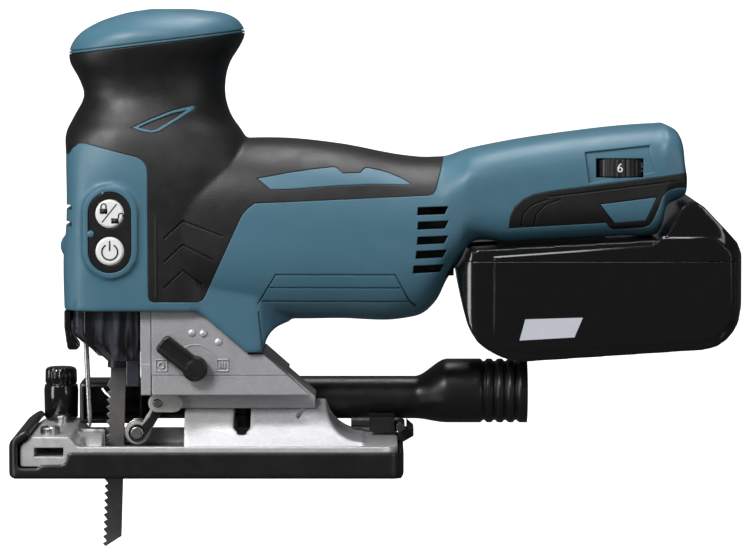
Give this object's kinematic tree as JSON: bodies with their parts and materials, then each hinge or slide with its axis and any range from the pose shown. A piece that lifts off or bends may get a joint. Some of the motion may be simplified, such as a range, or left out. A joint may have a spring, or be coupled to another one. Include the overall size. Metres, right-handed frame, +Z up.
{
  "type": "cordless barrel-grip jigsaw",
  "caption": "Cordless barrel-grip jigsaw with palm knob, tilting base, slide-on battery, blade guard and dust nozzle; teal casing with black rubber grip.",
  "frame": {"origin": "centre of the sole's underside, where the base rests on the work", "axes": "+X points to the rear of the tool, +Y to its right side, +Z up"},
  "size_m": [0.2975, 0.0815, 0.2227],
  "materials": {
    "blue_shell": "moulded, satin",
    "black_rubber": "soft, matt",
    "black_plastic": "fine grain",
    "battery_plastic": "semi gloss",
    "cast_aluminium": "die cast, blasted",
    "zinc_plate": "yellowish zinc plate",
    "steel": "ground",
    "blade_steel": "dark, ground",
    "dark_steel": "blackened",
    "bronze": "sintered",
    "copper_winding": "lacquered winding",
    "smoked_clear": "smoked clear plastic",
    "clear_lens": "clear plastic",
    "white_button": "moulded",
    "circuit_board": "lacquered",
    "cell_sleeve": "shrink sleeve"
  },
  "bodies": {
    "base": {"sole_cover": "black_plastic", "base_plate": "cast_aluminium", "key_clip": "black_plastic"},
    "tool_body": {"gear_housing": "cast_aluminium", "gear_housing_cover": "cast_aluminium", "gear_shaft": "steel", "lower_bush": "bronze", "upper_bush": "bronze", "link_plate": "zinc_plate", "arm_pivot_pin": "steel", "stator": "copper_winding", "front_bearing": "steel", "rear_bearing": "steel", "left_housing": "blue_shell", "right_housing": "blue_shell", "left_grip": "black_rubber", "right_grip": "black_rubber", "tail_strip": "black_rubber", "palm_cap": "blue_shell", "casing_screw_1": "dark_steel", "casing_screw_2": "dark_steel", "casing_screw_3": "dark_steel", "casing_screw_4": "dark_steel", "switch_panel_left": "black_plastic", "switch_panel_right": "black_plastic", "switch_board_left": "circuit_board", "switch_board_right": "circuit_board", "terminal_block": "black_plastic", "controller_board": "circuit_board", "lamp_lens": "clear_lens", "guard_rod": "steel"},
    "key": {"hex_key": "dark_steel"},
    "left_fence_screw": {"fence_screw": "steel"},
    "right_fence_knob": {"fence_knob": "black_plastic"},
    "nozzle": {"dust_nozzle": "black_plastic"},
    "clamp_bolt": {"base_clamp_bolt": "dark_steel"},
    "selector": {"orbit_lever": "black_plastic", "orbit_shaft": "steel"},
    "arm": {"support_arm": "black_plastic", "roller_pin": "steel"},
    "roller": {"support_roller": "steel"},
    "crank_gear": {"drive_gear": "dark_steel", "crank_roller": "steel"},
    "plunger_group": {"plunger": "steel", "blade_clamp": "dark_steel", "blade": "blade_steel"},
    "collar": {"clamp_collar": "steel"},
    "rotor_group": {"rotor": "dark_steel", "cooling_fan": "black_plastic"},
    "dial": {"speed_dial": "black_plastic"},
    "guard": {"chip_cover": "smoked_clear"},
    "release_lever": {"blade_release_lever": "black_plastic"},
    "left_lock": {"lock_button_left": "white_button"},
    "left_power": {"power_button_left": "white_button"},
    "right_lock": {"lock_button_right": "white_button"},
    "right_power": {"power_button_right": "white_button"},
    "battery": {"battery_tub": "battery_plastic", "battery_lid": "battery_plastic", "cell_pack": "cell_sleeve"},
    "battery_button": {"battery_release_button": "battery_plastic"}
  },
  "joints": [
    {"name": "base_tilt", "type": "hinge", "parent": "base", "child": "tool_body", "pos_m": [0, 0, 0], "axis": [1, 0, 0], "range_deg": [0, 45]},
    {"name": "hex_key_lift", "type": "slide", "parent": "base", "child": "key", "axis": [0, 0, 1], "range_m": [0, 0.015]},
    {"name": "fence_screw_turn", "type": "hinge", "parent": "base", "child": "left_fence_screw", "pos_m": [-0.064, -0.026, 0.016], "axis": [0, 0, 1], "continuous": true},
    {"name": "fence_knob_turn", "type": "hinge", "parent": "base", "child": "right_fence_knob", "pos_m": [-0.064, 0.026, 0.016], "axis": [0, 0, 1], "continuous": true},
    {"name": "dust_nozzle_slide", "type": "slide", "parent": "base", "child": "nozzle", "axis": [0, 1, 0], "range_m": [0, 0.025]},
    {"name": "clamp_bolt_turn", "type": "hinge", "parent": "tool_body", "child": "clamp_bolt", "pos_m": [0.014, 0, 0.02], "axis": [0, 0, 1], "range_deg": [0, 180]},
    {"name": "orbit_lever_turn", "type": "hinge", "parent": "tool_body", "child": "selector", "pos_m": [-0.0048, -0.0243, 0.0439], "axis": [0, 1, 0], "range_deg": [0, 120]},
    {"name": "support_arm_swing", "type": "hinge", "parent": "tool_body", "child": "arm", "pos_m": [-0.0209, 0, 0.0283], "axis": [0, -1, 0], "range_deg": [0, 4], "stiffness_Nm_per_rad": 2},
    {"name": "roller_spin", "type": "hinge", "parent": "arm", "child": "roller", "pos_m": [-0.0298, 0, 0.0151], "axis": [0, 1, 0], "continuous": true},
    {"name": "gear_turn", "type": "hinge", "parent": "tool_body", "child": "crank_gear", "pos_m": [0, 0, 0.0791], "axis": [-1, 0, 0], "range_deg": [-20.77, 159.23]},
    {"name": "plunger_stroke", "type": "slide", "parent": "tool_body", "child": "plunger_group", "axis": [0.0314, 0, 0.9995], "range_m": [-0.023, 0.003]},
    {"name": "collar_turn", "type": "hinge", "parent": "plunger_group", "child": "collar", "pos_m": [-0.03823, 0, 0.0485], "axis": [0.0314, 0, 0.9995], "range_deg": [0, 50], "stiffness_Nm_per_rad": 0.02},
    {"name": "rotor_spin", "type": "hinge", "parent": "tool_body", "child": "rotor_group", "pos_m": [0, 0, 0.0995], "axis": [-1, 0, 0], "continuous": true},
    {"name": "speed_dial_turn", "type": "hinge", "parent": "tool_body", "child": "dial", "pos_m": [0.1675, -0.01856, 0.1256], "axis": [0, 0, 1], "range_deg": [-150, 150]},
    {"name": "chip_cover_slide", "type": "slide", "parent": "tool_body", "child": "guard", "axis": [0, 0, 1], "range_m": [0, 0.018]},
    {"name": "release_lever_swing", "type": "hinge", "parent": "tool_body", "child": "release_lever", "pos_m": [-0.0525, 0.0286, 0.062], "axis": [0, 0, 1], "range_deg": [-75, 0], "stiffness_Nm_per_rad": 0.05},
    {"name": "lock_button_left_press", "type": "slide", "parent": "tool_body", "child": "left_lock", "axis": [0, 1, 0], "range_m": [0, 0.001], "stiffness_N_per_m": 1500},
    {"name": "power_button_left_press", "type": "slide", "parent": "tool_body", "child": "left_power", "axis": [0, 1, 0], "range_m": [0, 0.001], "stiffness_N_per_m": 1500},
    {"name": "lock_button_right_press", "type": "slide", "parent": "tool_body", "child": "right_lock", "axis": [0, -1, 0], "range_m": [0, 0.001], "stiffness_N_per_m": 1500},
    {"name": "power_button_right_press", "type": "slide", "parent": "tool_body", "child": "right_power", "axis": [0, -1, 0], "range_m": [0, 0.001], "stiffness_N_per_m": 1500},
    {"name": "battery_slide", "type": "slide", "parent": "tool_body", "child": "battery", "axis": [0.9984, 0, 0.0558], "range_m": [0, 0.09]},
    {"name": "battery_button_press", "type": "slide", "parent": "battery", "child": "battery_button", "axis": [0, 0, -1], "range_m": [0, 0.004], "stiffness_N_per_m": 900}
  ],
  "couplings": [
    {"joint": "plunger_stroke", "follows": "gear_turn", "m_per_rad": -0.0082761},
    {"joint": "rotor_spin", "follows": "gear_turn", "ratio": -5}
  ]
}
